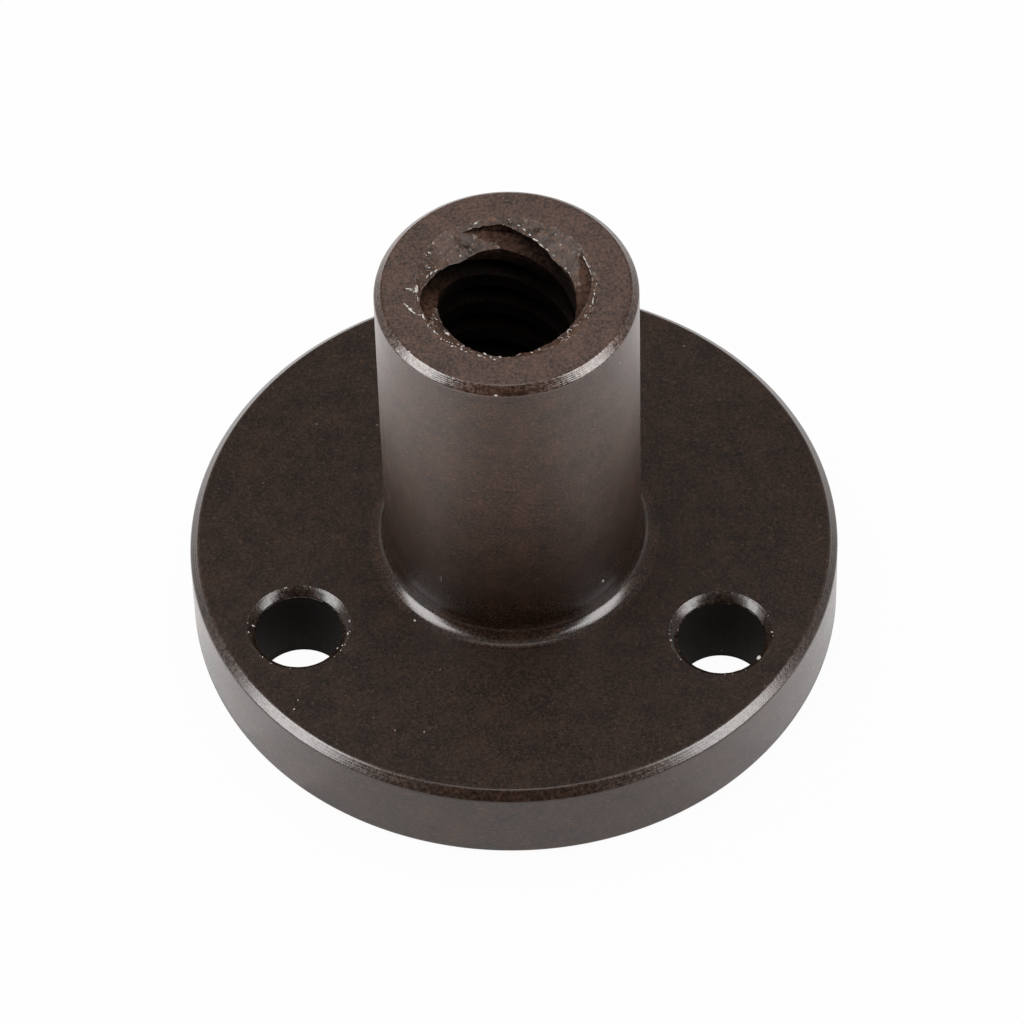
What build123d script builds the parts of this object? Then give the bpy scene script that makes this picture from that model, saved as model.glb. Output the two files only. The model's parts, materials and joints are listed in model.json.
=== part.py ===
from build123d import *
import math
import os

# Lead screw flange nut, turned from one piece of filled plastic.
# Units are millimetres. The origin is the centre of the flange underside, which is the seat, and +Z
# runs along the bore towards the nose of the barrel.

# Flange
flange_diameter = 38.1
flange_thickness = 5.6
flange_face_break = 0.5  # 45 degree break round the edge on the barrel side
flange_seat_break = 0.3  # 45 degree break round the edge of the underside

# Barrel
barrel_diameter = 15.0
barrel_length = 22.6  # from the flange face to the nose
barrel_root_radius = 1.1  # fillet where the barrel meets the flange
nose_break = 0.45  # 45 degree break round the nose

# Screw holes through the flange
hole_count = 3
hole_diameter = 5.1
hole_circle_diameter = 28.4
hole_break = 0.5  # 45 degree countersink on the barrel side
first_hole_angle = 90.0  # degrees from +X

# Bore: the thread's crests lie on its wall, and its grooves run out to the groove root diameter
crest_diameter = 7.9
groove_depth = 1.0  # from the crests to the groove roots
mouth_relief = 0.1  # how much wider than the groove roots the 45 degree mouths open, on the radius

# Sizes that follow from the ones above
flange_radius = flange_diameter / 2
barrel_radius = barrel_diameter / 2
hole_radius = hole_diameter / 2
hole_circle_radius = hole_circle_diameter / 2
overall_length = flange_thickness + barrel_length
crest_radius = crest_diameter / 2
mouth_radius = crest_radius + groove_depth + mouth_relief
mouth_depth = mouth_radius - crest_radius

standing = (Align.CENTER, Align.CENTER, Align.MIN)
hanging = (Align.CENTER, Align.CENTER, Align.MAX)


def turned_blank():
    """The outside of the nut, solid to the axis: flange, root fillet, barrel and broken edges."""
    fillet_top = (barrel_radius, flange_thickness + barrel_root_radius)
    fillet_foot = (barrel_radius + barrel_root_radius, flange_thickness)
    with BuildPart() as blank:
        with BuildSketch(Plane.XZ):
            with BuildLine():
                Polyline(
                    fillet_foot,
                    (flange_radius - flange_face_break, flange_thickness),
                    (flange_radius, flange_thickness - flange_face_break),
                    (flange_radius, flange_seat_break),
                    (flange_radius - flange_seat_break, 0),
                    (0, 0),
                    (0, overall_length),
                    (barrel_radius - nose_break, overall_length),
                    (barrel_radius, overall_length - nose_break),
                    fillet_top,
                )
                fillet_centre = (fillet_foot[0], fillet_top[1])
                middle = barrel_root_radius * math.sqrt(0.5)
                fillet_middle = (fillet_centre[0] - middle, fillet_centre[1] - middle)
                ThreePointArc(fillet_top, fillet_middle, fillet_foot)
            make_face()
        revolve(axis=Axis.Z)
    return blank.part


def screw_hole():
    """The space of one screw hole, standing on the seat, with its countersink at the flange face."""
    through = Cylinder(hole_radius, flange_thickness, align=standing)
    countersink = Cone(hole_radius, hole_radius + hole_break, hole_break, align=hanging)
    return through + Pos(0, 0, flange_thickness) * countersink


def screw_holes():
    """All the screw holes, evenly spaced on their circle."""
    step = 360 / hole_count
    places = [first_hole_angle + step * index for index in range(hole_count)]
    return [Rot(0, 0, angle) * Pos(hole_circle_radius, 0, 0) * screw_hole() for angle in places]


def bore():
    """The bore across the thread crests, with a 45 degree mouth at each end."""
    through = Cylinder(crest_radius, overall_length, align=standing)
    mouth = Cone(crest_radius, mouth_radius, mouth_depth, align=standing)
    nose_mouth = Pos(0, 0, overall_length - mouth_depth) * mouth
    seat_mouth = Pos(0, 0, mouth_depth) * Rot(180, 0, 0) * mouth
    return through + nose_mouth + seat_mouth


def flange_nut():
    """The whole nut: the blank, drilled and bored."""
    nut = turned_blank()
    for hole in screw_holes():
        nut -= hole
    return nut - bore()


os.makedirs("parts", exist_ok=True)
export_step(flange_nut(), "parts/flange_nut.step")
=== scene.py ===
# %% [markdown]
# # Lead screw flange nut
# A round flanged nut turned from one bar of dark filled plastic. Its bore carries a coarse
# four-start thread that runs along a lead screw. This lesson makes the nut the way a lathe does:
# a turned blank first, then the screw holes, the thread and the torn thread mouth, and last the
# burrs that the tool left. The finishes are made before the blank, because each face takes its
# finish as it is cut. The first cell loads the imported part, which fixes the size and place of
# everything below.

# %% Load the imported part
import json
import math
import random
import bpy
import bmesh
from mathutils import Matrix, Vector, noise


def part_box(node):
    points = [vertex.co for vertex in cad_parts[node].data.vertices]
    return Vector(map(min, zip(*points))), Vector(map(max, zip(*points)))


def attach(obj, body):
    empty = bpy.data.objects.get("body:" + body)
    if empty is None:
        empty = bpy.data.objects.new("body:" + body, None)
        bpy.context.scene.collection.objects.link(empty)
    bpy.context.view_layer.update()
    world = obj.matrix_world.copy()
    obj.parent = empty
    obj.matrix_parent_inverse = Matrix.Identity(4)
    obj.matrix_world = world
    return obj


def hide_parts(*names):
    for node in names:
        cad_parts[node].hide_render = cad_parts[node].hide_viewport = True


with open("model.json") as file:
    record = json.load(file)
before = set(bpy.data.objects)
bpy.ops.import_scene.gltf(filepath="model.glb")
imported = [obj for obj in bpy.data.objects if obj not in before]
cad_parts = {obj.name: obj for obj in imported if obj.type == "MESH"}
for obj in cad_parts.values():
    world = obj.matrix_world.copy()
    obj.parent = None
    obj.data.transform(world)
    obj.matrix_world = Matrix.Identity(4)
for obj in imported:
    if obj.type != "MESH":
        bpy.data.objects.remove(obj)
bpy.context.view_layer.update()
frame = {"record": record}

# %% [markdown]
# ## Sizes
# The radii come from the part's own mounts and the height from its box, so the visual model can't
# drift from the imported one. The few sizes that no mount states are written here once. Modelling is
# done in millimetres, because that is how a turner thinks, and a finished mesh is scaled to metres.

# %% Sizes in millimetres
MM = 0.001
mounts = {mount["name"]: mount for mount in frame["record"]["mounts"]}
box_low, box_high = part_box("flange_nut")
flange_radius = (box_high[0] - box_low[0]) / 2 / MM
length = box_high[2] / MM
barrel_radius = mounts["barrel"]["dims"]["r_mm"]
crest_radius = mounts["lead_screw_thread"]["dims"]["r_mm"]
hole_radius = mounts["flange_screws"]["dims"]["hole_r_mm"]
hole_circle = mounts["flange_screws"]["dims"]["pcd_mm"] / 2
hole_count = mounts["flange_screws"]["dims"]["count"]
flange_thickness, root_fillet = 5.6, 1.1
nose_break, face_break, seat_break = 0.45, 0.5, 0.3
print(f"flange radius {flange_radius:.2f}, length {length:.2f}")
print(f"barrel radius {barrel_radius}, crest radius {crest_radius}")

# %% [markdown]
# ## Camera
# The photograph looks down on the flange from about 53 degrees with a long lens, so the barrel
# hardly tapers. The camera was solved from the ellipses of the flange, the nose and the two holes
# in view. The three columns of its matrix are its right, up and back directions.

# %% Camera
lens = bpy.data.cameras.new("product_camera")
lens.lens = 246.4266
lens.sensor_width = 36.0
lens.clip_start = 0.01
camera = bpy.data.objects.new("product_camera", lens)
bpy.context.scene.collection.objects.link(camera)
camera_turn = Matrix((
    (0.99933298, -0.01359552, 0.03389322),
    (0.03152822, 0.78953323, -0.61289742),
    (-0.01842716, 0.6135572, 0.78943524),
))
camera_place = Vector((13.85709, -251.55377, 331.67065)) * MM
camera.matrix_world = Matrix.Translation(camera_place) @ camera_turn.to_4x4()
bpy.context.scene.camera = camera
bpy.context.scene.view_settings.view_transform = "Standard"
print("camera at", [round(c, 3) for c in camera.location], "lens", round(lens.lens, 1))

# %% [markdown]
# ## Helpers
# The nut is all turned shapes, so one helper spins a profile about the axis of the bore. Others
# round a corner of a profile, finish a mesh as an object in metres, and cut one solid with
# another. Two serve the finishes: hex colours to linear values, and a node with its links.

# %% Helper: a closed profile of radius and height points
def draw_profile(points):
    bm = bmesh.new()
    corners = [bm.verts.new((r, 0, z)) for r, z in points]
    for start, end in zip(corners, corners[1:] + corners[:1]):
        bm.edges.new((start, end))
    return bm


def round_corner(bm, r, z, radius, segments):
    corner = [v for v in bm.verts if abs(v.co.x - r) < 1e-4 and abs(v.co.z - z) < 1e-4]
    bmesh.ops.bevel(bm, geom=corner, offset=radius, offset_type="OFFSET", segments=segments,
                    profile=0.5, affect="VERTICES", material=-1)


# %% Helper: spin the profile into a closed solid
def turn_profile(bm, steps):
    bmesh.ops.spin(bm, geom=bm.verts[:] + bm.edges[:], cent=(0, 0, 0), axis=(0, 0, 1),
                   dvec=(0, 0, 0), angle=math.tau, steps=steps, use_merge=True,
                   use_duplicate=False)
    bmesh.ops.remove_doubles(bm, verts=bm.verts, dist=1e-5)
    bmesh.ops.recalc_face_normals(bm, faces=bm.faces)


# %% Helper: a finished piece from a bmesh
def make_piece(name, bm, materials):
    bmesh.ops.scale(bm, vec=(MM, MM, MM), verts=bm.verts)
    mesh = bpy.data.meshes.new(name)
    bm.to_mesh(mesh)
    bm.free()
    for material in materials:
        mesh.materials.append(material)
    piece = bpy.data.objects.new(name, mesh)
    bpy.context.scene.collection.objects.link(piece)
    return piece


# %% Helper: cut one piece with another, whose finish the cut takes
def cut(piece, cutter):
    boolean = piece.modifiers.new("cut", "BOOLEAN")
    boolean.operation = "DIFFERENCE"
    boolean.solver = "EXACT"
    boolean.material_mode = "TRANSFER"
    boolean.object = cutter
    bpy.context.view_layer.update()
    evaluated = piece.evaluated_get(bpy.context.evaluated_depsgraph_get())
    result = bpy.data.meshes.new_from_object(evaluated)
    piece.modifiers.clear()
    uncut = piece.data
    piece.data = result
    bpy.data.meshes.remove(uncut)
    bpy.data.meshes.remove(cutter.data)
    print(f"cut: {len(result.polygons)} faces, finishes {[m.name for m in result.materials]}")


# %% Helpers: colours and nodes
def linear(hex_colour):
    values = [int(hex_colour[i:i + 2], 16) / 255 for i in (1, 3, 5)]
    return [v / 12.92 if v <= 0.04045 else ((v + 0.055) / 1.055) ** 2.4 for v in values] + [1.0]


def add_node(tree, kind, settings=None, **links):
    node = tree.nodes.new(kind)
    for name, value in (settings or {}).items():
        setattr(node, name, value)
    for name, value in links.items():
        numbered = name[1:].isdigit()
        socket = node.inputs[int(name[1:]) if numbered else name.replace("_", " ")]
        if isinstance(value, bpy.types.NodeSocket):
            tree.links.new(value, socket)
        else:
            socket.default_value = value
    return node


# %% [markdown]
# ## Finishes
# The nut is one plastic, filled with graphite and a little bronze or oil, so it is dark brown with
# a fine mottle, soft rusty grains and rare pale ones. Much of the real filler is too fine to show,
# so the mottle is drawn as coarse as it needs to be, at 0.14 to 0.22 mm on the nut. What changes
# from face to face is how the tool left it: the flange face is burnished, the barrel is finer
# turned, the nose is dull and scuffed, the broken edges are bright turning ridges, and the thread
# mouth is torn. One function makes them all, with a small one for each thing that some don't have.

# %% Finish: grains of the filler over a ground colour
def add_grains(tree, place, colour, grains):
    # Each row is the distance between grains in mm, a grain's reach as a share of that distance,
    # the share of the places that stay empty, and the grain's colour
    for spacing, reach, empty, tint in grains:
        cells = add_node(tree, "ShaderNodeTexVoronoi", Vector=place, Scale=1 / (spacing * MM))
        near = add_node(tree, "ShaderNodeMapRange", Value=cells.outputs["Distance"],
                        From_Min=reach * 0.4, From_Max=reach, To_Min=1.0, To_Max=0.0)
        pick = add_node(tree, "ShaderNodeSeparateColor", Color=cells.outputs["Color"])
        chosen = add_node(tree, "ShaderNodeMath", {"operation": "GREATER_THAN"},
                          _0=pick.outputs[1], _1=empty)
        strong = add_node(tree, "ShaderNodeMath", {"operation": "MULTIPLY"},
                          _0=chosen.outputs[0], _1=pick.outputs[0])
        here = add_node(tree, "ShaderNodeMath", {"operation": "MULTIPLY"},
                        _0=strong.outputs[0], _1=near.outputs[0])
        colour = add_node(tree, "ShaderNodeMix", {"data_type": "RGBA"}, _0=here.outputs[0],
                          _6=colour, _7=linear(tint)).outputs[2]
    return colour


# %% Finish: torn edges, which turn pale where the plastic was stressed
def whiten_torn_edges(tree, place, colour):
    # The mesh's own attribute says where the edges are, and a noise breaks the line up
    worn = add_node(tree, "ShaderNodeAttribute", {"attribute_name": "worn"})
    breaks = add_node(tree, "ShaderNodeTexNoise", Vector=place, Scale=1 / (0.35 * MM), Detail=2.0)
    gate = add_node(tree, "ShaderNodeMapRange", Value=breaks.outputs["Fac"],
                    From_Min=0.45, From_Max=0.6)
    edge = add_node(tree, "ShaderNodeMath", {"operation": "MULTIPLY"},
                    _0=worn.outputs["Fac"], _1=gate.outputs[0])
    return add_node(tree, "ShaderNodeMix", {"data_type": "RGBA"}, _0=edge.outputs[0],
                    _6=colour, _7=linear("#a79b92")).outputs[2]


# %% Finish: a share that grows to one between two heights in mm
def growing_share(tree, place, from_z, to_z, least):
    height = add_node(tree, "ShaderNodeSeparateXYZ", Vector=place).outputs["Z"]
    return add_node(tree, "ShaderNodeMapRange", {"interpolation_type": "SMOOTHSTEP"}, Value=height,
                    From_Min=from_z * MM, From_Max=to_z * MM, To_Min=least,
                    To_Max=1.0).outputs["Result"]


# %% Finish: turned filled plastic
cloud_size, ramp_reach = 1.5, 0.16
pale_grain = (0.9, 0.09, 0.86, "#8d8078")


def turned_plastic(name, dark, light, roughness, specular=0.5, grain=0.22, relief=0.010,
                   patchy=0.05, streak=1.0, cloudy=0.5, rust=("#4c3526", 0.80), specks=(),
                   torn=False, painted_shade=None, burnished=None):
    material = bpy.data.materials.new(name)
    material.use_nodes = True
    tree = material.node_tree
    shader = tree.nodes["Principled BSDF"]
    shader.inputs["IOR"].default_value = 1.5
    shader.inputs["Specular IOR Level"].default_value = specular
    place = add_node(tree, "ShaderNodeTexCoord").outputs["Object"]
    flat = add_node(tree, "ShaderNodeVectorMath", {"operation": "MULTIPLY"},
                    _0=place, _1=(1, 1, streak)).outputs[0]

    # The filler shows as a fine mottle, which turning drew out level, over slow clouds
    mottle = add_node(tree, "ShaderNodeTexNoise", Vector=flat, Scale=1 / (grain * MM),
                      Detail=3.0, Roughness=0.65).outputs["Fac"]
    cloud = add_node(tree, "ShaderNodeTexNoise", Vector=place, Scale=1 / (cloud_size * MM),
                     Detail=3.0, Roughness=0.55).outputs["Fac"]
    blend = add_node(tree, "ShaderNodeMath", {"operation": "MULTIPLY_ADD"},
                     _0=cloud, _1=cloudy, _2=mottle)
    tone = add_node(tree, "ShaderNodeValToRGB", Fac=blend.outputs[0])
    for stop, side, tint in zip(tone.color_ramp.elements, (-1, 1), (dark, light)):
        stop.position = 0.5 + cloudy / 2 + side * ramp_reach
        stop.color = linear(tint)

    # The rusty grains of the filler come in two sizes, and the pale ones are few and small
    rusty, empty = rust
    grains = ((0.19, 0.62, empty, rusty), (0.43, 0.42, empty + 0.06, rusty), pale_grain, *specks)
    colour = add_grains(tree, flat, tone.outputs["Color"], grains)
    if painted_shade:
        # Painted shade: the colour darkens downwards, towards the barrel's root and deep in the bore
        colour = add_node(tree, "ShaderNodeVectorMath", {"operation": "SCALE"}, _0=colour,
                          Scale=growing_share(tree, place, *painted_shade)).outputs["Vector"]
    if torn:
        colour = whiten_torn_edges(tree, place, colour)
    tree.links.new(colour, shader.inputs["Base Color"])

    dull = add_node(tree, "ShaderNodeMapRange", Value=mottle, From_Min=0.35, From_Max=0.65,
                    To_Min=roughness - patchy, To_Max=roughness + patchy)
    strength = 1.0
    if burnished:
        # The form tool burnished the root of the barrel, so it is smoother there
        polish = growing_share(tree, place, *burnished)
        dull = add_node(tree, "ShaderNodeMath", {"operation": "MULTIPLY"},
                        _0=dull.outputs["Result"], _1=polish)
        strength = add_node(tree, "ShaderNodeMath", {"operation": "POWER"},
                            _0=polish, _1=4.0).outputs[0]
    tree.links.new(dull.outputs[0], shader.inputs["Roughness"])
    bump = add_node(tree, "ShaderNodeBump", Strength=strength, Distance=relief * MM, Height=mottle)
    tree.links.new(bump.outputs["Normal"], shader.inputs["Normal"])
    return material


# %% The finishes of the nut: dark and light colour, roughness, and what sets each one apart
torn_specks = ((0.30, 0.30, 0.62, "#d6cbc0"), (0.24, 0.50, 0.66, "#6a4429"))
finishes = {
    "flange": turned_plastic(
        "burnished_flange_face", "#190f09", "#382418", 0.42,
        specular=0.36, grain=0.15, relief=0.006, rust=("#45301f", 0.84)),
    "nose": turned_plastic(
        "scuffed_nose_face", "#241610", "#644739", 0.6,
        grain=0.16, relief=0.025, cloudy=0.3, rust=("#664735", 0.8)),
    # Painted shade: the barrel darkens to 0.44 of its colour towards the flange
    "barrel": turned_plastic(
        "fine_turned_barrel", "#21140d", "#6d4b39", 0.35,
        grain=0.14, relief=0.028, streak=1.6, cloudy=0.35, rust=("#80583f", 0.80),
        painted_shade=(7, 22, 0.44), burnished=(6.2, 10.5, 0.6)),
    "rim": turned_plastic(
        "turned_flange_rim", "#23160f", "#52382a", 0.35,
        relief=0.018, streak=1.8, rust=("#6b4732", 0.75)),
    "face_edge": turned_plastic(
        "turned_face_edge", "#281911", "#422c1f", 0.26,
        relief=0.006, patchy=0.06, specular=0.6),
    "nose_edge": turned_plastic(
        "turned_nose_edge", "#37241b", "#634536", 0.24,
        relief=0.014, patchy=0.12, specular=0.68),
    # Painted shade: the drilled hole is coloured darker than the flange, for the shade inside it
    "hole": turned_plastic(
        "drilled_hole_painted_shade", "#0f0906", "#1b120d", 0.75,
        specular=0.10, rust=("#20150f", 0.8)),
    "countersink": turned_plastic(
        "countersunk_edge", "#1b110b", "#3a281d", 0.28,
        relief=0.006, patchy=0.06, torn=True),
    "mouth": turned_plastic(
        "torn_thread_mouth", "#2a1b13", "#634a3d", 0.6,
        specular=0.3, grain=0.17, relief=0.018, rust=("#7d553b", 0.72),
        specks=torn_specks, torn=True),
    # Painted shade: deep in the bore the thread's colour drops to 0.08 of itself
    "thread": turned_plastic(
        "cut_thread", "#2a1b13", "#634a3d", 0.6,
        specular=0.03, torn=True, painted_shade=(25.2, 27.7, 0.08)),
}
print("finishes:", [material.name for material in finishes.values()])

# %% [markdown]
# ## Turned blank
# The whole outside is one profile: the seat, the flange with its broken edges, the root fillet, the
# barrel and the nose. It could be a cylinder on a disc, but a spun profile gives the fillet and the
# small roundings that catch the light, with no seam. It stays a tube inside, so no pole is needed.
# The tool leaves fine ridges on the broken edges and in the fillet. They are only thousandths of a
# millimetre high, and they break each highlight into fine lines.

# %% Helper: the ridges that the tool leaves on a broken edge
wave = (0, 1, 0, -1)


def tool_ridges(start, end, count, height):
    line = Vector(end) - Vector(start)
    inward = Vector((-line.y, line.x)).normalized() * height
    margin, steps = 0.16, len(wave) * count
    spots = [Vector(start) + line * (margin + (1 - 2 * margin) * i / steps)
             for i in range(steps + 1)]
    return [tuple(spot + inward * wave[i % len(wave)]) for i, spot in enumerate(spots)]


# %% Profile of the blank
core = crest_radius - 1.0
fine_ridge, nose_ridge = 0.0022, 0.005
hold = 0.16  # a point this near each rounding keeps the long faces flat in the shading
seat_edge = (flange_radius - seat_break, 0), (flange_radius, seat_break)
face_edge = ((flange_radius, flange_thickness - face_break),
             (flange_radius - face_break, flange_thickness))
nose_edge = (barrel_radius, length - nose_break), (barrel_radius - nose_break, length)
blank = draw_profile([
    (core, 0), (seat_edge[0][0] - hold, 0), *seat_edge,
    (flange_radius, seat_break + hold), (flange_radius, face_edge[0][1] - hold),
    face_edge[0], *tool_ridges(*face_edge, 3, fine_ridge), face_edge[1],
    (face_edge[1][0] - hold, flange_thickness),
    (barrel_radius + root_fillet + hold, flange_thickness),
    (barrel_radius, flange_thickness),
    (barrel_radius, flange_thickness + root_fillet + hold),
    (barrel_radius, nose_edge[0][1] - hold),
    nose_edge[0], *tool_ridges(*nose_edge, 4, nose_ridge), nose_edge[1],
    (nose_edge[1][0] - hold, length), (core, length),
])
print("profile corners:", len(blank.verts))

# %% Round the root fillet with its ridges, and soften the corners
round_corner(blank, barrel_radius, flange_thickness, radius=root_fillet, segments=24)
hub = Vector((barrel_radius + root_fillet, 0, flange_thickness + root_fillet))
fillet = [v for v in blank.verts if (v.co - hub).length < root_fillet + 0.01 and v.co.z < hub.z]
fillet.sort(key=lambda v: v.co.z)
for index, vert in enumerate(fillet[3:-3]):
    vert.co += (hub - vert.co).normalized() * wave[index % len(wave)] * fine_ridge
for r, z in (*seat_edge, *face_edge, *nose_edge):
    round_corner(blank, r, z, radius=0.08, segments=3)
print("profile points:", len(blank.verts))


# %% Helper: the finish of a face of the blank
def finish_of(face):
    middle = face.calc_center_median()
    r = math.hypot(middle.x, middle.y)
    sloping = 0.03 < abs(face.normal.z) < 0.997
    if middle.z < flange_thickness + root_fillet:
        if sloping:
            return "barrel" if r < barrel_radius + root_fillet else "face_edge"
        return "rim" if r > flange_radius - 0.01 else "flange"
    if sloping:
        return "nose_edge"
    return "nose" if middle.z > length - 0.01 else "barrel"


# %% Spin the blank and give each face its finish
turn_profile(blank, steps=256)
keys = list(finishes)
for face in blank.faces:
    face.material_index = keys.index(finish_of(face))
nut = make_piece("flange_nut_body", blank, finishes.values())
print("blank faces:", len(nut.data.polygons))

# %% [markdown]
# ## Screw holes
# Each hole is drilled through the flange and countersunk on the barrel side. The cutter is the
# space of one hole: a spun profile again, whose sloping face carries the finish of a broken edge.
# A slow noise makes it a little uneven, because a drill doesn't leave a perfect round in plastic.

# %% Helper: the noise that roughens a cut, in waves per millimetre
def cut_noise(place, per_mm, persistence, octaves=3, shift=0):
    return noise.fractal(place * per_mm + Vector((shift, 0, 0)), persistence, 2.1, octaves)


# %% Drill the screw holes
hole_azimuths = [90 + 360 / hole_count * index for index in range(hole_count)]
countersink_depth, unevenness = 0.50, 0.014
# The countersink's outline: how far out from the hole, and how deep under the flange face
countersink = ((0, countersink_depth), (0.02, 0.44), (0.07, 0.37), (0.31, 0.13), (0.37, 0.08),
               (0.43, 0.042), (0.48, 0.012), (0.51, -0.02))
for index, azimuth in enumerate(hole_azimuths):
    rims = [(hole_radius + out, flange_thickness - deep) for out, deep in countersink]
    drill = draw_profile([(0, -1), (hole_radius, -1), *rims, (0, flange_thickness + 0.02)])
    turn_profile(drill, steps=96)
    for face in drill.faces:
        depth = flange_thickness - face.calc_center_median().z
        face.material_index = int(depth < countersink_depth + 0.06)
    for vert in drill.verts:
        if vert.co.z > 1 and vert.co.xy.length > hole_radius - 0.1:
            outwards = vert.co.xy.normalized().to_3d()
            vert.co += outwards * cut_noise(vert.co, 3, 0.7, shift=index * 9) * unevenness
    bmesh.ops.translate(drill, vec=(hole_circle, 0, 0), verts=drill.verts)
    bmesh.ops.rotate(drill, cent=(0, 0, 0), verts=drill.verts,
                     matrix=Matrix.Rotation(math.radians(azimuth), 3, "Z"))
    cut(nut, make_piece("hole_drill", drill, [finishes["hole"], finishes["countersink"]]))

# %% [markdown]
# ## Lead thread
# Four grooves climb 9.525 mm a turn. A sweep of one groove could be repeated, but all four have the
# same section across the axis: a circle with four lobes. Turning that section while it rises gives
# the whole thread at once, closed and with true flanks. The rise is coarse inside and fine near the
# nose, where the tool tore the crests and the small steps carry the torn shape.

# %% Section of the thread: one lobe is a groove root, a flank, a crest and a flank
lead, starts, groove_depth = 9.525, 4, 1.0
groove_root, flank_slope = 0.65, math.tan(math.radians(20))
degree, start_angle = 360 / lead, 360 / starts
root_half = groove_root / 2 * degree
crest_half = root_half + groove_depth * flank_slope * degree


def stretch(from_angle, to_angle, from_depth, to_depth, count):
    return [(from_angle + (to_angle - from_angle) / count * i,
             from_depth + (to_depth - from_depth) * i / count) for i in range(count)]


lobe = (stretch(-root_half, root_half, 1, 1, 6) + stretch(root_half, crest_half, 1, 0, 5)
        + stretch(crest_half, start_angle - crest_half, 0, 0, 12)
        + stretch(start_angle - crest_half, start_angle - root_half, 0, 1, 5))
section = bmesh.new()
bmesh.ops.create_circle(section, cap_ends=False, segments=len(lobe) * starts, radius=crest_radius)
for index, vert in enumerate(section.verts):
    start, spot = divmod(index, len(lobe))
    angle, depth = lobe[spot]
    turned = Matrix.Rotation(math.radians(angle + start_angle * start), 3, "Z")
    vert.co = turned @ Vector((crest_radius + groove_depth * depth, 0, 0))
print("section points:", len(section.verts), f"groove {2 * crest_half:.1f} degrees wide at crests")

# %% Climb of the thread, from under the seat to above the nose
crest_azimuth, crest_depth = 101.8, 1.63  # a crest crosses this azimuth this far below the nose
below, fine_from, above = -1.0, length - 2.6, length + 1.0
groove_azimuth = crest_azimuth + start_angle / 2 + (below - (length - crest_depth)) * degree
bmesh.ops.rotate(section, cent=(0, 0, 0), verts=section.verts,
                 matrix=Matrix.Rotation(math.radians(groove_azimuth), 3, "Z"))
bmesh.ops.translate(section, vec=(0, 0, below), verts=section.verts)
last = section.verts[:] + section.edges[:]
for rise, steps in ((fine_from - below, 110), (above - fine_from, 50)):
    last = bmesh.ops.spin(section, geom=last, cent=(0, 0, 0), axis=(0, 0, 1),
                          dvec=(0, 0, rise / steps), angle=math.radians(rise * degree),
                          steps=steps, use_merge=False, use_duplicate=False)["geom_last"]
bmesh.ops.holes_fill(section, edges=section.edges, sides=0)
bmesh.ops.recalc_face_normals(section, faces=section.faces)
print("thread cutter faces:", len(section.faces))

# %% Tear the crests near the nose, and cut the thread
tear_height, least_tear = 0.07, 0.12
for vert in section.verts:
    if below < vert.co.z < above:
        torn_share = min(max(vert.co.z - fine_from, least_tear), 1.0)
        outwards = Vector((vert.co.x, vert.co.y, 0)).normalized()
        vert.co += outwards * cut_noise(vert.co, 2.6, 0.7, octaves=4) * tear_height * torn_share
print("thread cutter volume:", round(section.calc_volume(), 1))
cut(nut, make_piece("thread_cutter", section, [finishes["thread"]]))

# %% [markdown]
# ## Thread mouth
# A 45 degree countersink opens the thread at both ends. The seat end is plain. At the nose the tool
# dragged the soft plastic, so the cone is torn: wider at the back left and in the notch at the
# back, rough all over but less so at the right, and rounded over at its lip. A noisy cone cuts it.

# %% Helper: a bulge of a given width about one azimuth
def bulge(azimuth, middle, width):
    return math.exp(-((azimuth - middle) / width) ** 2)


# %% Torn mouth at the nose
mouth_radius, mouth_depth, over = crest_radius + 1.12, 1.52, 0.6
lip_flare, lip_depth = 0.10, 0.16
tear = bmesh.new()
ends = [tear.verts.new((mouth_radius - mouth_depth, 0, -mouth_depth)),
        tear.verts.new((mouth_radius + over, 0, over))]
tear.edges.new(ends)
bmesh.ops.subdivide_edges(tear, edges=tear.edges[:], cuts=44)
turn_profile(tear, steps=520)
for vert in tear.verts:
    if vert.is_boundary:
        continue
    azimuth = math.degrees(math.atan2(vert.co.y, vert.co.x))
    outwards = Vector((vert.co.x, vert.co.y, 0)).normalized()
    wide = 0.26 * bulge(azimuth, 139, 20) + 0.12 * bulge(azimuth, 98, 10)
    calm = 0.45 if -25 < azimuth < 42 else 1.0
    rough = cut_noise(vert.co, 1.7, 0.8) * 0.055 + cut_noise(vert.co, 5.5, 0.6) * 0.018 * calm
    lip = lip_flare * min(1.0, max(0.0, 1 + vert.co.z / lip_depth)) ** 2
    vert.co += (outwards - Vector((0, 0, 1))).normalized() * (rough + wide * 0.7) + outwards * lip
bmesh.ops.holes_fill(tear, edges=tear.edges, sides=0)
bmesh.ops.recalc_face_normals(tear, faces=tear.faces)
bmesh.ops.translate(tear, vec=(0, 0, length), verts=tear.verts)
cut(nut, make_piece("mouth_cutter", tear, [finishes["mouth"]]))

# %% Plain mouth at the seat
seat_mouth, seat_depth, under = crest_radius + 1.1, 1.5, 0.5
plain = draw_profile([(0, -under), (seat_mouth + under, -under),
                      (seat_mouth - seat_depth, seat_depth), (0, seat_depth)])
turn_profile(plain, steps=160)
cut(nut, make_piece("seat_mouth_cutter", plain, [finishes["thread"]]))

# %% [markdown]
# ## Worn edges
# Where a torn finish meets another over an outer corner, the plastic is stressed and pale. A value
# in the mesh marks those corners for the finishes to read. The same pass shades the nut smooth,
# apart from its sharp edges and the borders where a level face meets another finish.

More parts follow.
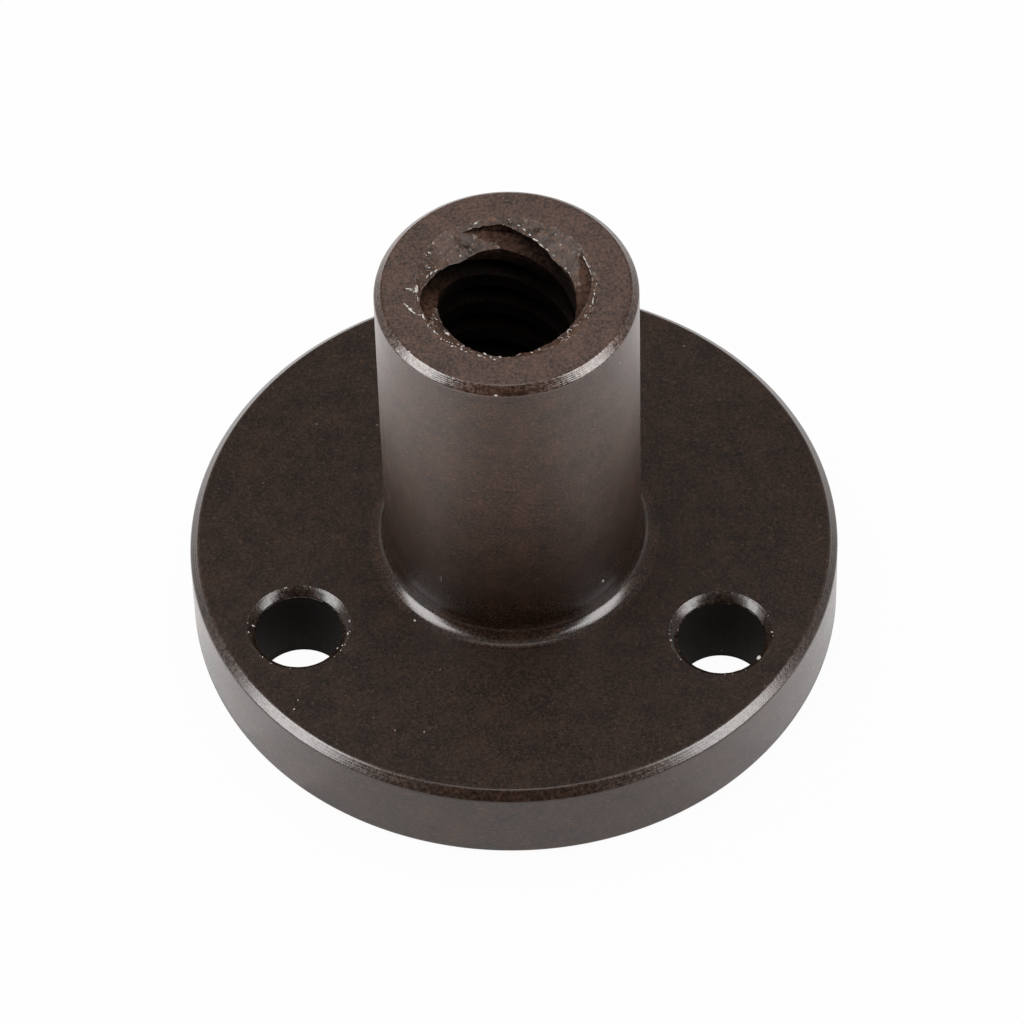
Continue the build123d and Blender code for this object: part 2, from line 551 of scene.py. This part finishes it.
# %% Mark the worn edges and set the smooth shading
smooth_below, corner_above = math.radians(32), math.radians(15)
body = bmesh.new()
body.from_mesh(nut.data)
worn_value = body.verts.layers.float.new("worn")
torn_finishes = {i for i, m in enumerate(nut.data.materials)
                 if m in (finishes["countersink"], finishes["mouth"], finishes["thread"])}
marked = 0
for edge in body.edges:
    if len(edge.link_faces) != 2:
        continue
    kinds = {face.material_index for face in edge.link_faces}
    by_level_face = max(abs(face.normal.z) for face in edge.link_faces) > 0.9999
    border = by_level_face and len(kinds) == 2
    edge.smooth = edge.calc_face_angle() < smooth_below and not border
    if len(kinds) == 2 and kinds & torn_finishes and edge.calc_face_angle_signed() > corner_above:
        at_mouth = min(vert.co.z for vert in edge.verts) > (length - 2) * MM
        at_countersink = abs(edge.verts[0].co.z / MM - flange_thickness) < 0.6
        if at_mouth or at_countersink:
            for vert in edge.verts:
                vert[worn_value] = 1.0
            marked += 1
for face in body.faces:
    face.smooth = True
body.to_mesh(nut.data)
body.free()
print("worn edges:", marked)

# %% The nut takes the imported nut's place
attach(nut, "root")
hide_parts("flange_nut")

# %% [markdown]
# ## Burrs
# The tool left white flakes and a split curl round the thread mouth, rusty fibres of the filler at
# its left, and a few chips and scratches elsewhere. A row of white slivers at the right of the mouth
# is a painted highlight: it draws the bright line where the groove's edge catches the light. Each is
# a small closed shape half sunk in the face it sits on. A flake is a squashed and dented sphere. Its
# size is given outwards, sideways and up, and its heading turns it about the vertical.

# %% Flakes: radius, azimuth, height, size and heading, in millimetres and degrees
nose, flange = length, flange_thickness
flakes = [
    # The torn star at the left, and the thick scratch below it
    (5.08, -177.5, nose - 0.03, (0.22, 0.13, 0.05), -79),
    (5.46, -178.4, nose, (0.28, 0.050, 0.02), -7),
    (5.37, -177.3, nose, (0.20, 0.034, 0.02), 12),
    (5.03, 179.2, nose - 0.08, (0.06, 0.15, 0.06), 25),
    (5.02, -171.4, nose - 0.09, (0.25, 0.028, 0.03), 89),
    (5.22, -176.2, nose - 0.01, (0.08, 0.06, 0.03), 30),
    (5.70, -165.5, nose, (0.18, 0.055, 0.02), -63),
    (5.58, -162.8, nose, (0.26, 0.110, 0.02), -61),
    (5.45, -159.6, nose, (0.18, 0.050, 0.02), -58),
    (5.25, -157.2, nose, (0.19, 0.022, 0.02), -32),
    (5.05, -155.3, nose - 0.09, (0.22, 0.060, 0.04), 80),
    (5.80, -167.2, nose, (0.12, 0.030, 0.02), -68),
    # Flecks on the lip in front
    (4.21, -157.5, nose - 0.92, (0.05, 0.05, 0.04), 0),
    (4.27, -139.9, nose - 0.79, (0.15, 0.11, 0.08), -57),
    (5.09, -140.6, nose - 0.03, (0.09, 0.06, 0.04), 72),
    (4.58, -121.0, nose - 0.50, (0.10, 0.06, 0.05), 70),
    (5.17, -124.1, nose, (0.09, 0.05, 0.02), 90),
    (5.06, -118.1, nose - 0.02, (0.10, 0.06, 0.03), 89),
    (5.10, -114.1, nose - 0.03, (0.09, 0.05, 0.03), 71),
    (4.63, -102.9, nose - 0.42, (0.18, 0.06, 0.05), 45),
    (5.09, -105.7, nose - 0.03, (0.11, 0.05, 0.03), 74),
    (5.16, -101.9, nose, (0.10, 0.04, 0.02), 81),
    (5.22, -95.4, nose, (0.13, 0.04, 0.02), 77),
    (4.93, -91.8, nose - 0.16, (0.15, 0.05, 0.04), 38),
    (4.52, -124.9, nose - 0.56, (0.08, 0.04, 0.04), 77),
    (5.18, -133.2, nose, (0.08, 0.05, 0.02), 87),
    (5.04, -98.0, nose - 0.06, (0.09, 0.05, 0.03), 58),
    (4.20, -123.1, nose - 0.91, (0.08, 0.04, 0.04), 73),
    (5.13, -147.0, nose - 0.03, (0.08, 0.04, 0.03), 86),
    (4.32, -62.8, nose - 0.77, (0.14, 0.04, 0.04), -8),
    (4.37, -68.7, nose - 0.74, (0.10, 0.03, 0.03), 37),
    # The pale rim at the right, and the bright line along the groove's edge there: white slivers
    # that paint a highlight
    (4.93, 28.3, nose - 0.13, (0.25, 0.030, 0.03), 87),
    (4.92, 22.8, nose - 0.18, (0.27, 0.036, 0.03), -88),
    (4.92, 16.8, nose - 0.22, (0.22, 0.026, 0.03), -89),
    (4.90, 10.5, nose - 0.24, (0.24, 0.014, 0.02), 88),
    (5.10, 4.7, nose - 0.04, (0.05, 0.05, 0.03), 87),
    (4.98, -2.5, nose - 0.16, (0.12, 0.05, 0.04), -79),
    (4.95, -8.0, nose - 0.15, (0.030, 0.28, 0.04), 0),
    (4.92, -15.0, nose - 0.17, (0.022, 0.26, 0.03), 5),
    (4.88, -22.0, nose - 0.21, (0.025, 0.24, 0.03), -6),
    (4.80, -29.0, nose - 0.29, (0.020, 0.22, 0.03), 4),
    (4.66, -25.0, nose - 0.42, (0.020, 0.16, 0.03), -12),
    (4.70, -35.0, nose - 0.38, (0.020, 0.18, 0.03), 10),
    # Flecks at the back of the mouth
    (4.84, 83.6, nose - 0.23, (0.12, 0.040, 0.04), 68),
    (4.69, 79.3, nose - 0.35, (0.15, 0.050, 0.04), 60),
    (4.53, 74.8, nose - 0.52, (0.13, 0.040, 0.04), 57),
    (4.38, 70.2, nose - 0.66, (0.17, 0.050, 0.04), 69),
    (4.24, 64.4, nose - 0.76, (0.15, 0.040, 0.04), 78),
    (4.20, 58.5, nose - 0.88, (0.14, 0.040, 0.04), 85),
    (4.98, 116.9, nose - 0.16, (0.24, 0.018, 0.03), 84),
    (4.96, 109.5, nose - 0.22, (0.26, 0.022, 0.03), -88),
    (5.13, 111.4, nose - 0.05, (0.06, 0.11, 0.05), 20),
    (5.18, 149.7, nose - 0.12, (0.11, 0.05, 0.04), 3),
    (5.20, 152.4, nose - 0.08, (0.06, 0.03, 0.03), 5),
    (4.56, 160.9, nose - 0.58, (0.16, 0.045, 0.05), 77),
    (4.44, 156.3, nose - 0.73, (0.20, 0.050, 0.05), 72),
    (4.66, 166.5, nose - 0.43, (0.18, 0.040, 0.04), 75),
    (4.40, 68.6, nose - 0.67, (0.15, 0.022, 0.03), 59),
    (4.22, 63.5, nose - 0.80, (0.17, 0.024, 0.03), 78),
    # Flecks on the broken edge of the nose and on the barrel
    (7.37, -143.0, nose - 0.32, (0.11, 0.06, 0.04), 88),
    (7.05, -138.4, nose - 0.01, (0.07, 0.06, 0.02), 77),
    (7.42, -92.6, nose - 0.42, (0.07, 0.16, 0.05), 0),
    (7.49, -30.4, nose - 1.87, (0.02, 0.05, 0.05), 0),
    (7.49, -158.8, 12.50, (0.02, 0.02, 0.36), 0),
    (7.49, -121.5, 9.58, (0.02, 0.025, 0.38), 0),
    (7.49, -43.9, 7.95, (0.04, 0.09, 0.13), 0),
    # Flecks and one chip on the flange and round the screw holes
    (8.55, -130.5, flange + 0.01, (0.06, 0.09, 0.02), 0),
    (17.88, -133.3, flange, (0.06, 0.05, 0.02), 0),
    (17.28, -134.3, flange, (0.04, 0.05, 0.02), 0),
    (15.25, -107.9, flange, (0.05, 0.05, 0.02), 0),
    (13.91, -162.2, flange - 0.02, (0.06, 0.04, 0.03), 0),
    (16.52, -154.8, flange - 0.02, (0.05, 0.12, 0.04), 40),
    (16.94, -153.7, flange - 0.01, (0.04, 0.06, 0.03), 20),
    (17.04, -147.0, flange - 0.02, (0.05, 0.04, 0.03), 0),
    (11.46, -144.8, flange - 0.02, (0.05, 0.05, 0.03), 0),
    (12.02, -141.5, flange - 0.02, (0.06, 0.10, 0.04), -50),
    (12.81, -139.2, flange - 0.02, (0.05, 0.05, 0.03), 0),
    (13.15, -139.3, flange - 0.02, (0.05, 0.05, 0.03), 0),
    (11.96, -35.2, flange - 0.02, (0.05, 0.05, 0.03), 0),
    (12.10, -39.2, flange - 0.02, (0.06, 0.07, 0.03), 0),
    (13.44, -42.2, flange - 0.02, (0.05, 0.05, 0.03), 0),
    (16.96, -31.3, flange - 0.04, (0.12, 0.17, 0.05), 0),
    (16.75, -24.5, flange - 0.02, (0.06, 0.05, 0.03), 0),
]
burrs = bmesh.new()
sink, dent, dents_per_radius = 0.012, 0.5, 1.7


def add_flake(r, azimuth, z, size, heading, tint=0):
    a = math.radians(azimuth)
    lay = (Matrix.Translation((r * math.cos(a), r * math.sin(a), z - sink))
           @ Matrix.Rotation(a + math.radians(heading), 4, "Z") @ Matrix.Diagonal((*size, 1)))
    ball = bmesh.ops.create_icosphere(burrs, subdivisions=2, radius=1)
    for vert in ball["verts"]:
        own_noise = noise.noise(vert.co * dents_per_radius + Vector((r, azimuth, 0)))
        vert.co = lay @ (vert.co * (1 + dent * own_noise))
        for side in vert.link_faces:
            side.material_index = tint


for flake in flakes:
    add_flake(*flake)
print("flakes:", len(flakes))

# %% [markdown]
# ## Crumbs
# Crumbs are the same shape, but tiny and many, so they are scattered from a fixed seed. On the torn
# cone they crowd towards its outer rim, and round a screw hole they lie along both rims of the
# countersink. Some are white and some are rusty.

# %% Helper: a crumb of a random size and heading
draw = random.Random(11)


def add_crumb(r, azimuth, z, tint):
    small = draw.uniform(0.010, 0.038)
    size = (small, small * draw.uniform(0.8, 1.6), small * 0.8)
    add_flake(r, azimuth, z, size, draw.uniform(-90, 90), tint)


# %% Crumbs on the cone: how many, between which azimuths, and how deep down it at most
crumb_radius = mouth_radius + 0.01
cone_crumbs = ((96, -154, -86, 0.60), (34, -50, 6, 0.45), (14, 140, 174, 0.50), (10, 62, 100, 0.30))
for count, from_azimuth, to_azimuth, deepest in cone_crumbs:
    for index in range(count):
        depth = deepest * draw.random() ** 1.4
        add_crumb(crumb_radius - depth, draw.uniform(from_azimuth, to_azimuth), nose - depth - 0.01,
                  tint=int(index % 3 == 0))
print("faces of flakes and crumbs so far:", len(burrs.faces))

# %% Crumbs round each screw hole: white ones on the outer rim, rusty ones on the inner rim
rim_crumbs = ((0.47, 0.02, 34, 0), (0.12, 0.33, 12, 1))
for azimuth in hole_azimuths:
    middle = math.radians(azimuth)
    for out, depth, count, tint in rim_crumbs:
        reach = hole_radius + out
        for _ in range(count):
            around = draw.uniform(0, math.tau)
            spot = Vector((hole_circle * math.cos(middle) + reach * math.cos(around),
                           hole_circle * math.sin(middle) + reach * math.sin(around)))
            add_crumb(spot.length, math.degrees(math.atan2(spot.y, spot.x)), flange - depth, tint)
print("faces of flakes and crumbs:", len(burrs.faces))

# %% [markdown]
# ## Curl and fibres
# A curl is a thin thread of plastic that the tool rolled up. A small ring of six points is spun
# part of a turn and capped at both ends, then laid over the torn cone. The first six strands are
# the white curl at the front right, and the others are the rusty fibres at the left.

# %% Strands: radius, azimuth, height, loop radius, degrees of turn, thickness and tint
strands = [
    (4.61, -37.9, nose - 0.42, 0.17, 300, 0.022, 0),
    (4.50, -41.0, nose - 0.52, 0.25, 130, 0.018, 0),
    (4.75, -33.0, nose - 0.32, 0.20, 200, 0.015, 0),
    (4.55, -46.0, nose - 0.52, 0.16, 220, 0.015, 0),
    (4.80, -44.0, nose - 0.27, 0.22, 120, 0.014, 0),
    (4.62, -31.5, nose - 0.46, 0.12, 260, 0.013, 0),
    (4.78, 160.7, nose - 0.32, 0.30, 150, 0.016, 1),
    (4.70, 157.0, nose - 0.38, 0.24, 170, 0.014, 1),
    (4.60, 163.0, nose - 0.48, 0.20, 130, 0.016, 1),
    (4.40, 157.3, nose - 0.70, 0.26, 160, 0.016, 1),
    (4.95, 166.0, nose - 0.24, 0.18, 120, 0.013, 1),
    (5.00, 170.5, nose - 0.20, 0.20, 140, 0.014, 1),
]
for index, (r, azimuth, z, loop, angle, thick, tint) in enumerate(strands):
    a = math.radians(azimuth)
    earlier = set(burrs.faces)
    ring = bmesh.ops.create_circle(burrs, segments=6, radius=thick,
                                   matrix=Matrix.Translation((loop, 0, 0)))["verts"]
    hoop = list({edge for vert in ring for edge in vert.link_edges})
    bmesh.ops.spin(burrs, geom=ring + hoop, cent=(0, 0, 0), axis=(0, 1, 0), dvec=(0, 0.004, 0),
                   angle=math.radians(angle), steps=16, use_merge=False, use_duplicate=False)
    strand = [side for side in burrs.faces if side not in earlier]
    shape = list({vert for side in strand for vert in side.verts})
    open_ends = list({edge for side in strand for edge in side.edges if edge.is_boundary})
    strand += bmesh.ops.holes_fill(burrs, edges=open_ends, sides=0)["faces"]
    lay = (Matrix.Translation((r * math.cos(a), r * math.sin(a), z)) @ Matrix.Rotation(a, 4, "Z")
           @ Matrix.Rotation(math.radians(45), 4, "Y")
           @ Matrix.Rotation(math.radians(90 + 17 * index), 4, "X"))
    bmesh.ops.transform(burrs, matrix=lay, verts=shape)
    for side in strand:
        side.material_index = tint
bmesh.ops.recalc_face_normals(burrs, faces=burrs.faces)
for side in burrs.faces:
    side.smooth = True
print("burr faces:", len(burrs.faces))

# %% The burrs' finishes
# The white finish serves the whitened burrs and also the slivers of painted highlight at the right
# of the mouth
white_burr_and_painted_highlight = turned_plastic("stress_whitened_burr_and_painted_highlight", "#d2c9c0", "#f6f2ee", 0.5, grain=0.1)
rusty_fibre = turned_plastic("rusty_filler_fibre", "#7a4c24", "#b98a54", 0.5, grain=0.1)
burr_piece = make_piece("thread_mouth_burrs", burrs, [white_burr_and_painted_highlight, rusty_fibre])
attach(burr_piece, "root")

# %% [markdown]
# ## Floor
# The photograph has a white ground, so the floor is white paper. Where the camera or a reflection
# sees it, most of it is a glow of strength 1, so it shows as white, with a faint shadow, and no
# lamp has to be turned up for it.

# %% Floor
ground = bmesh.new()
bmesh.ops.create_grid(ground, x_segments=1, y_segments=1, size=3000)
paper = bpy.data.materials.new("white_paper_floor")
paper.use_nodes = True
paper_tree = paper.node_tree
base = paper_tree.nodes["Principled BSDF"]
base.inputs["Base Color"].default_value = linear("#f4f4f4")
base.inputs["Roughness"].default_value = 0.9
base.inputs["Specular IOR Level"].default_value = 0.0
path = add_node(paper_tree, "ShaderNodeLightPath")
looked_at = add_node(paper_tree, "ShaderNodeMath", {"operation": "MAXIMUM"},
                     _0=path.outputs["Is Camera Ray"], _1=path.outputs["Is Glossy Ray"])
seen = add_node(paper_tree, "ShaderNodeMath", {"operation": "MAXIMUM"},
                _0=looked_at.outputs[0], _1=path.outputs["Is Transmission Ray"])
glowing = add_node(paper_tree, "ShaderNodeMath", {"operation": "MULTIPLY"},
                   _0=seen.outputs[0], _1=0.96)
glow = add_node(paper_tree, "ShaderNodeEmission", Color=(1, 1, 1, 1), Strength=1.0)
mix = add_node(paper_tree, "ShaderNodeMixShader",
               _0=glowing.outputs[0], _1=base.outputs[0], _2=glow.outputs[0])
paper_tree.links.new(mix.outputs[0], paper_tree.nodes["Material Output"].inputs["Surface"])
floor = make_piece("floor", ground, [paper])
print("floor of", paper.name)

# %% [markdown]
# ## Light
# Two long softboxes stand low at the sides and draw the highlights on the barrel and the edges. A
# small one overhead catches the roundings that lean a little towards the camera. They light the
# gloss only. The plain light comes from the room and one dim ceiling lamp, so a colour renders
# about as it is written. The bounce cards lie beside the nut, just above the floor, and face up:
# they stand for the light that the white ground throws back at the barrel's sides. Four of them
# overlap on each side, each starting a little farther out, so that the light fades towards the nut.
# Each lies at a height of its own, because lamps that lie in one plane dim each other.

# %% Helpers: a softbox of a given radiance, and a place seen from the nut
def softbox(name, place, facing, width, height, radiance, gloss=True, diffuse=True):
    data = bpy.data.lights.new(name, "AREA")
    data.shape = "RECTANGLE"
    data.size, data.size_y = width, height
    data.energy = radiance * math.pi * width * height
    lamp = bpy.data.objects.new(name, data)
    bpy.context.scene.collection.objects.link(lamp)
    lamp.location = place
    lamp.rotation_euler = (-Vector(facing)).to_track_quat("Z", "Y").to_euler()
    lamp.visible_camera, lamp.visible_glossy, lamp.visible_diffuse = False, gloss, diffuse
    print(name, "energy", round(data.energy, 2))


def around_nut(azimuth, elevation, distance):
    a, e = math.radians(azimuth), math.radians(elevation)
    return Vector((math.cos(a) * math.cos(e), math.sin(a) * math.cos(e), math.sin(e))) * distance


# %% Softboxes, ceiling and bounce cards, in metres
left, right = around_nut(200, 35, 0.7), around_nut(341, 36, 0.7)
overhead = around_nut(100, 87, 0.8)
softbox("left_softbox", left, -left, 0.35, 0.57, 11.5, diffuse=False)
softbox("right_softbox", right, -right, 0.35, 0.57, 10.5, diffuse=False)
softbox("overhead_strip", overhead, -overhead, 0.26, 0.26, 2.4, diffuse=False)
softbox("ceiling_fill", (-0.12, 0.02, 0.8), (0, 0, -1), 0.9, 0.9, 2.0, gloss=False)
card_width, card_length = 0.26, 0.34
for index, inner_edge in enumerate((0.012, 0.0155, 0.019, 0.0225)):
    card_height = 0.0004 + index * 0.0003
    reach = inner_edge + card_width / 2
    for name, x, radiance in (("left", -reach, 0.24), ("right", reach, 0.15)):
        softbox(f"{name}_bounce_{index}", (x, 0.04, card_height), (0, 0, 1), card_width,
                card_length, radiance, diffuse=False)

# %% [markdown]
# ## Room
# The gloss also mirrors the room: pale near the floor, dim higher up, and dark towards the camera,
# so the front of the barrel stays dark between the two highlights.

# %% Room
world = bpy.data.worlds.new("studio")
bpy.context.scene.world = world
world.use_nodes = True
room_tree = world.node_tree
direction = add_node(room_tree, "ShaderNodeTexCoord").outputs["Generated"]
upwards = add_node(room_tree, "ShaderNodeSeparateXYZ", Vector=direction).outputs["Z"]
walls = add_node(room_tree, "ShaderNodeMapRange", {"interpolation_type": "SMOOTHSTEP"},
                 Value=upwards, From_Min=0.02, From_Max=0.22, To_Min=0.9, To_Max=0.31)
front = add_node(room_tree, "ShaderNodeVectorMath", {"operation": "DOT_PRODUCT"},
                 _0=direction, _1=(0.05, -1.0, 0.0))
near_end = add_node(room_tree, "ShaderNodeMapRange", {"interpolation_type": "SMOOTHSTEP"},
                    Value=front.outputs["Value"], From_Min=0.25, From_Max=0.55)
room = add_node(room_tree, "ShaderNodeMix", {"data_type": "FLOAT"},
                _0=near_end.outputs["Result"], _2=walls.outputs["Result"], _3=0.03)
room_tree.links.new(room.outputs[0], room_tree.nodes["Background"].inputs["Color"])
print("room:", len(room_tree.nodes), "nodes")

# %% Triangle count
print("triangles:", sum(len(p.vertices) - 2 for p in nut.data.polygons))
